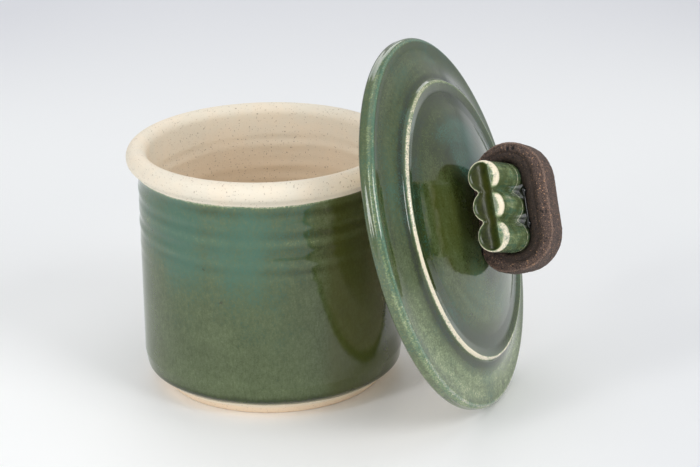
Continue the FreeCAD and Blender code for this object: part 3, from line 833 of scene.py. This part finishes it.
def uneven_piece(mesh, material, relief, axes, place):
    """A piece with the mesh's name and this relief, set in place."""
    piece = grown(mesh.name, mesh, relief_tree(material), dict(zip(RELIEF, relief)))
    finished(piece.data, placed(axes, place))
    return piece


# ---------------------------------------------------------------- the jar and its lid

def jar_body():
    piece = grown("jar_body", line_mesh(jar_section()), turned_tree(jar_material()), {
        "Rows": 500, "Columns": 190, "Ring Pitch": RING_PITCH, "Ring Depth": RING_DEPTH,
        "Rings From": RINGS_FOOT, "Rings To": RINGS_FULL, "Rings End": NECK_HEIGHT,
        "Wobble": 0.5 * MM, "Warp": 0.0, "Fine": 0.05 * MM, "Seed": 0.0})
    drift = Matrix.Identity(4)
    drift[0][2] = RIM_DRIFT / RIM_HEIGHT
    finished(piece.data, drift)
    return piece


def lid_disc(axes, place):
    piece = grown("lid_disc", line_mesh(lid_section()), turned_tree(lid_material(axes, place)), {
        "Rows": 510, "Columns": 190, "Ring Pitch": RING_PITCH, "Ring Depth": 0.0,
        "Rings From": 0.0, "Rings To": 1.0, "Rings End": 1.0,
        "Wobble": 0.4 * MM, "Warp": 0.5 * MM, "Fine": 0.05 * MM, "Seed": 0.4})
    finished(piece.data, placed(axes, place))
    return piece


def smooth_step(values, low, high):
    share = np.clip((values - low) / (high - low), 0, 1)
    return share * share * (3 - 2 * share)


# ---------------------------------------------------------------- the handle's loop

def oval(length, height, middle, foot_corner):
    """Points round an upright oval in the loop's plane, as (along, up), from the middle of its top.

    Every oval has the same number of points, so that two of them match point by point.
    """
    low, high, end = middle - height / 2, middle + height / 2, height / 2
    half = length / 2

    def quarter(across, up, radius, start):
        angles = np.linspace(start, start - math.pi / 2, ARC_STEPS + 1)
        return np.stack([across + radius * np.cos(angles), up + radius * np.sin(angles)], 1)

    def run(start, finish, count):
        return np.linspace(start, finish, count + 1)

    foot = quarter(-half + foot_corner, low + foot_corner, foot_corner, -math.pi / 2)
    side = math.pi / 2 * foot_corner
    rise = middle - (low + foot_corner)
    straight = round(ARC_STEPS * rise / (rise + side))
    kept = np.linspace(0, ARC_STEPS, ARC_STEPS - straight + 1)
    foot = np.stack([np.interp(kept, range(ARC_STEPS + 1), foot[:, k]) for k in (0, 1)], 1)
    stretches = [
        run((0, high), (half - end, high), RUN_STEPS),
        quarter(half - end, middle, end, math.pi / 2),
        quarter(half - end, middle, end, 0),
        run((half - end, low), (-half + foot_corner, low), 2 * RUN_STEPS),
        foot,
        run((-half, low + foot_corner), (-half, middle), straight),
        quarter(-half + end, middle, end, math.pi),
        run((-half + end, high), (0, high), RUN_STEPS),
    ]
    return np.concatenate([s[:-1] for s in stretches])


def loop_profile():
    """The clay band's section, once round: (part, place on that part, across).

    Its outer edges are crisp. Its inner side is a wide roll that closes on the bar.
    """
    half = LOOP_THICKNESS / 2
    flat = half - LOOP_OUTER_EDGE
    bends = np.linspace(0, math.pi / 2, 9)
    outer = [("edge", LOOP_OUTER_EDGE * (1 - math.sin(a)), flat + LOOP_OUTER_EDGE * math.cos(a))
             for a in bends]
    side = [("edge", 0.0, across * flat) for across in np.linspace(1, -1, 26)[1:-1]]
    cheek = [("cheek", share, half) for share in np.linspace(0, 1, 20)[1:-1]]
    roll = []
    for across in np.sin(np.linspace(-math.pi / 2, math.pi / 2, 46)) * half:
        past = max(0.0, abs(across) - half + LOOP_ROLL_DEPTH) / LOOP_ROLL_DEPTH
        roll.append(("roll", 1 - math.sqrt(max(0.0, 1 - past ** 2)), across))
    mirror = [(kind, offset, -across) for kind, offset, across in reversed(outer)]
    near_cheek = [(kind, share, -across) for kind, share, across in cheek]
    return outer + side + mirror + near_cheek + roll + list(reversed(cheek))


def edge_highlight(offset, across):
    """How much painted highlight the outer side has at this place in the section: 1 on the crown of an
    edge.
    """
    crown = LOOP_OUTER_EDGE * 0.3
    gap = math.hypot(crown - offset, LOOP_THICKNESS / 2 - crown - abs(across))
    return 1 - min(1, gap / EDGE_HIGHLIGHT_WIDTH)


def loop_rows():
    """Rows of points over the loop, with how much painted highlight each has on its outer edges and how
    much painted shade near the hole.
    """
    outer = oval(LOOP_LENGTH - 2 * LOOP_SKIN, LOOP_HEIGHT - 2 * LOOP_SKIN, LOOP_MIDDLE, LOOP_FOOT_CORNER)
    inner = oval(HOLE_LENGTH, HOLE_HEIGHT, HOLE_MIDDLE, HOLE_HEIGHT / 2)
    way = inner - outer
    width = np.linalg.norm(way, axis=1, keepdims=True)
    way = way / width
    upward = (inner[:, 1:] - HOLE_MIDDLE) / (HOLE_HEIGHT / 2)
    close = CLOSE_ENDS + np.where(upward > 0, CLOSE_OUTWARD - CLOSE_ENDS, CLOSE_ENDS - CLOSE_LID) * upward
    columns, edge_highlights, hole_shade = [], [], []
    for kind, offset, across in loop_profile():
        inset, swell = offset, 0.0
        if kind == "cheek":
            inset = LOOP_OUTER_EDGE + offset * (width - LOOP_OUTER_EDGE - LOOP_INNER_EDGE)
            swell = CHEEK_SWELL * math.sin(math.pi * offset) * np.sign(across)
        elif kind == "roll":
            inset = width + close * (1 - offset) - LOOP_INNER_EDGE * offset
        along, up = (outer + way * inset).T
        edge_highlights.append(edge_highlight(offset, across) if kind == "edge" else 0.0)
        # painted shade near the hole: none on the outer edges, growing over the cheek, full on the roll
        hole_shade.append({"edge": 0.0, "cheek": smooth_step(offset, 0.3, 1.0), "roll": 1.0}[kind])
        columns.append(np.stack([np.full(len(up), across + swell), along + HANDLE_SHIFT, up], 1))
    rows = np.stack(columns, 1)
    return rows, np.broadcast_to(edge_highlights, rows.shape[:2]), np.broadcast_to(hole_shade, rows.shape[:2])


def nick(rows, spots, radius, depth):
    """Short cracks: the rows move in round each of these spots. Also gives how cracked each point is."""
    middle = np.array([0, HANDLE_SHIFT, LOOP_MIDDLE])
    cracked = np.zeros(rows.shape[:2])
    for spot in spots:
        gap = np.linalg.norm((rows - np.array(spot)) * (1, 0.8, 1.2), axis=2, keepdims=True)
        cracked = np.maximum(cracked, np.exp(-(gap[..., 0] / radius) ** 2))
        inward = np.array([0.9, 0, 0]) + (middle - rows) * np.array([0, 1, 1]) \
            / np.linalg.norm((middle - rows)[..., 1:], axis=2, keepdims=True)
        rows = rows + inward * depth * np.exp(-(gap / radius) ** 2)
    return rows, cracked


def clay_loop(axes, place):
    rows, edge_highlights, hole_shade = loop_rows()
    rows, cracked = nick(rows, NICKS, NICK_RADIUS, NICK_DEPTH)
    attributes = {"edge": edge_highlights, "crack": cracked, "inner": hole_shade}
    mesh = finished(skin("clay_loop", rows, closed_rows=True, attributes=attributes))
    return uneven_piece(mesh, dark_clay_material(), LOOP_RELIEF, yawed(axes, LOOP_YAW), place)


# ---------------------------------------------------------------- the handle's bar

def lobed_ring(inset):
    """The bar's outline drawn in by this much: (along, up) points, the same count for any inset."""
    half_pitch = BAR_LOBE_PITCH / 2
    notch = (BAR_NECK ** 2 / 4 + half_pitch ** 2 - BAR_LOBE_RADIUS ** 2) / (2 * BAR_LOBE_RADIUS - BAR_NECK)
    touch = math.asin(half_pitch / (BAR_LOBE_RADIUS + notch))
    lobe, hollow = BAR_LOBE_RADIUS - inset, notch + inset
    top = []
    for i in range(BAR_LOBES):
        y = (i - (BAR_LOBES - 1) / 2) * BAR_LOBE_PITCH
        start = -touch if i > 0 else -math.pi / 2
        end = touch if i < BAR_LOBES - 1 else math.pi / 2
        angles = np.linspace(start, end, round(16 * (end - start)))
        top += [(y + lobe * math.sin(a), lobe * math.cos(a)) for a in angles]
        if i < BAR_LOBES - 1:
            height = BAR_NECK / 2 + notch
            top += [(y + half_pitch + hollow * math.sin(a), height - hollow * math.cos(a))
                    for a in np.linspace(-touch, touch, 14)[1:-1]]
    top = np.array(top)
    return np.concatenate([top, (top * (1, -1))[-2:0:-1]])


def end_rows():
    """One end of the bar, from the middle of its dish out to its side.

    Each item is a ring of points, with how far the glaze breaks to cream and how far it pools there.
    The dish is a trough through the lobes and necks. It lies towards the lid, and its far wall is straight.
    """
    half = BAR_LENGTH / 2
    heart = lobed_ring(BAR_DISH_RIM)
    rings = [(BAR_DISH_RIM, heart * (1, share)) for share in np.linspace(0, 1, 22)]
    rings += [(inset, lobed_ring(inset)) for inset in np.linspace(BAR_DISH_RIM, 0, 34)[1:]]
    items = []
    for inset, ring in rings:
        across = ring[:, 1] / BAR_LOBE_RADIUS
        neck = np.exp(-((np.abs(ring[:, 0]) - BAR_LOBE_PITCH / 2) / BAR_NECK_REACH) ** 2)
        bottom = -0.30 + 0.14 * neck
        trough = smooth_step(inset, 0.2 * MM, 2.0 * MM) \
            * np.clip(1 - ((across - bottom) / (BAR_DISH_FAR - bottom)) ** 2, 0, 1)
        edge = max(0.0, 1 - inset / BAR_EDGE_WIDTH)
        depth = BAR_DISH_DEPTH * trough + BAR_END_ROUND * (1 - math.sqrt(1 - edge ** 2))
        far = np.clip(0.35 + across * 0.75, 0, 1)
        width = (0.45 + 2.5 * far ** 2 * (1 - 0.9 * neck)) * MM
        lip = np.exp(-np.abs((inset - 0.2 * MM) / width) ** 2.6) * (1 - 0.9 * neck * far)
        pool = np.sqrt(trough) * (1 - lip) + neck * far * 0.8
        items.append((np.column_stack([depth - half, ring]), lip, pool))
    return items


def bar_rows():
    """Rows of points over the whole bar, with how far the glaze breaks or pools at each point."""
    items = end_rows()
    ring, lip, _ = items[-1]
    start = ring[0, 0]
    for x in np.linspace(start, 0, 60)[1:]:
        fade = max(0.0, 1 - (x - start) / BAR_LIP_FADE) ** 1.5
        items.append((np.column_stack([np.full(len(ring), x), ring[:, 1:]]), lip * fade, lip * 0))
    flipped = [(spots * (-1, 1, 1), lip, pool) for spots, lip, pool in items[-2::-1]]
    return zip(*(items + flipped))


def glazed_bar(axes, place):
    rows, lips, pools = bar_rows()
    rows = np.array(rows) + (0, HANDLE_SHIFT, BAR_MIDDLE)
    attributes = {"lip": np.array(lips), "pool": np.array(pools)}
    mesh = finished(skin("glazed_bar", rows, attributes=attributes))
    turned_axes = yawed(axes, BAR_YAW)
    return uneven_piece(mesh, bar_material(turned_axes, place), BAR_RELIEF, turned_axes, place)


# ---------------------------------------------------------------- pooled glaze

def glaze_pools(axes, place):
    """Glaze that ran down and set between the bar and the loop, as a bead with two swellings."""
    steps, around = 80, 28
    rows = []
    for share in np.linspace(0, 1, steps):
        along = (share - 0.5) * POOL_LENGTH
        swell = sum(math.exp(-((along - side * POOL_APART / 2) / POOL_WIDTH) ** 2) for side in (-1, 1))
        close = math.sqrt(max(0.0, 1 - (2 * share - 1) ** 8))
        high = (POOL_THIN + swell * POOL_SWELL) * close
        deep = (POOL_THIN * 1.4 + swell * POOL_REACH) * close
        low = swell * POOL_DROP
        angles = np.linspace(0, 2 * math.pi, around, endpoint=False)
        rows.append(np.stack([POOL_FACE + deep * np.cos(angles), np.full(around, along + POOL_SHIFT),
                              POOL_HEIGHT - low + high * np.sin(angles)], 1))
    mesh = finished(skin("glaze_pools", np.array(rows)))
    return uneven_piece(mesh, pool_material(), POOL_RELIEF, yawed(axes, LOOP_YAW), place)


def dome_height(radius):
    """Height of the lid's dome at this radius, on the arc that its section has there."""
    rise = DOME_RISE - DOME_FOOT_RISE
    curve = (DOME_FOOT ** 2 + rise ** 2) / (2 * rise)
    return DOME_TOP - curve + math.sqrt(curve ** 2 - radius ** 2)


def glaze_fillet(axes, place):
    """The lid's glaze climbs the foot of the loop in a narrow hollow fillet."""
    half, steps, bend = LOOP_THICKNESS / 2, 14, 9
    corners = ((1, FILLET_TO), (-1, FILLET_TO), (-1, FILLET_FROM), (1, FILLET_FROM))
    path = []
    for quarter, (side, end) in enumerate(corners):
        middle = (side * (half - FILLET_CORNER), end - (1 if end > 0 else -1) * FILLET_CORNER)
        for angle in np.linspace(quarter, quarter + 1, bend) * math.pi / 2:
            path.append((*middle, math.cos(angle), math.sin(angle)))
    tuck = FILLET_CORNER - FILLET_TUCK
    rows = []
    for x, y, way_x, way_y in path:
        row = []
        for angle in np.linspace(0, 1, steps) * math.pi / 2:
            reach = FILLET_CORNER - 0.3 * MM + FILLET_WIDTH * (1 - math.cos(angle))
            climb = FILLET_HEIGHT * (1 - math.sin(angle))
            px, py = x + way_x * reach, y + way_y * reach + HANDLE_SHIFT
            row.append((px, py, dome_height(math.hypot(px, py)) + climb - 0.05 * MM))
        row.append((*row[-1][:2], row[-1][2] - FILLET_ROOT))
        inner = (x + way_x * tuck, y + way_y * tuck + HANDLE_SHIFT)
        dome = dome_height(math.hypot(*inner))
        row += [(*inner, dome - FILLET_ROOT), (*inner, dome + FILLET_HEIGHT - 0.2 * MM)]
        rows.append(row)
    mesh = finished(skin("glaze_fillet", rows, closed_rows=True), placed(yawed(axes, LOOP_YAW), place))
    mesh.materials.append(pool_material())
    return linked("glaze_fillet", mesh)


# ---------------------------------------------------------------- floor, light and camera

def floor():
    """Pale ground, with painted light round the jar against its shadow, and painted shade far off and on
    the right near the front.
    """
    mesh = bpy.data.meshes.new("floor")
    corners = [(x * FLOOR_HALF, y * FLOOR_HALF, 0) for x, y in ((-1, -1), (1, -1), (1, 1), (-1, 1))]
    mesh.from_pydata(corners, [], [(0, 1, 2, 3)])
    material, tree, shader = new_material("pale_floor")
    x, y, _ = parts(tree, own_point(tree))
    # painted shade: falling off far away and towards the sides of the view
    far = y.ramp(0.33, 0.85) + (x - 0.04).size().ramp(0.1, 0.5) * y.ramp(0.35, 0.7) * 0.7
    # painted light round the jar, against the shadow it casts
    painted_light = (x * x + y * y).root().ramp(0.10, 0.30, 1, 0)
    pale = mixed(tree, painted_light, FLOOR_PALE, FLOOR_PAINTED_LIGHT)
    # painted shade on the right near the front
    colour = mixed(tree, far + x.ramp(0.10, 0.22) * y.ramp(0.25, 0.0) * 0.4, pale, FLOOR_PAINTED_SHADE)
    plug(tree, shader.inputs["Base Color"], colour)
    shader.inputs["Roughness"].default_value = 0.6
    shader.inputs["Specular IOR Level"].default_value = 0.2
    mesh.materials.append(material)
    return linked("floor", mesh)


def soft_light(name, place, size, share, mirrored):
    """A lamp aimed at the object. A white surface there that faces it shows this share of white."""
    lamp = bpy.data.lights.new(name, "AREA")
    lamp.shape = "RECTANGLE"
    lamp.size, lamp.size_y = size
    way = Vector(LIT_POINT) - Vector(place)
    lamp.energy = share * math.pi ** 2 * way.length ** 2
    item = linked(name, lamp)
    item.location = place
    item.rotation_euler = way.to_track_quat("-Z", "Y").to_euler()
    item.visible_glossy = mirrored


def studio():
    scene = bpy.context.scene
    world = bpy.data.worlds.new("pale_room")
    world.use_nodes = True
    background = world.node_tree.nodes["Background"]
    background.inputs["Color"].default_value = WORLD_COLOUR
    background.inputs["Strength"].default_value = WORLD_STRENGTH
    scene.world = world
    for lamp in LAMPS:
        soft_light(*lamp)
    lens = bpy.data.cameras.new("camera")
    lens.lens = CAMERA_LENS
    lens.sensor_width = 36.0
    camera = linked("camera", lens)
    camera.matrix_world = Matrix.Translation(CAMERA_PLACE) \
        @ Matrix.Rotation(math.pi / 2 - CAMERA_PITCH, 4, "X") @ Matrix.Rotation(CAMERA_ROLL, 4, "Z")
    scene.camera = camera
    scene.view_settings.view_transform = "Standard"


def main():
    axes = lean_axes()
    place = lean_place(axes)
    made = [
        (jar_body(), "green_glaze", ("jar",)),
        (lid_disc(axes, place), "green_glaze", ("lid",)),
        (clay_loop(axes, place), "dark_clay", ("handle_loop",)),
        (glazed_bar(axes, place), "green_glaze", ("handle_bar",)),
        (glaze_pools(axes, place), "green_glaze", ()),
        (glaze_fillet(axes, place), "green_glaze", ()),
    ]
    for piece, slot, nodes in made:
        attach(piece, "root")
        if nodes:
            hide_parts(*nodes)
    floor()
    studio()


main()
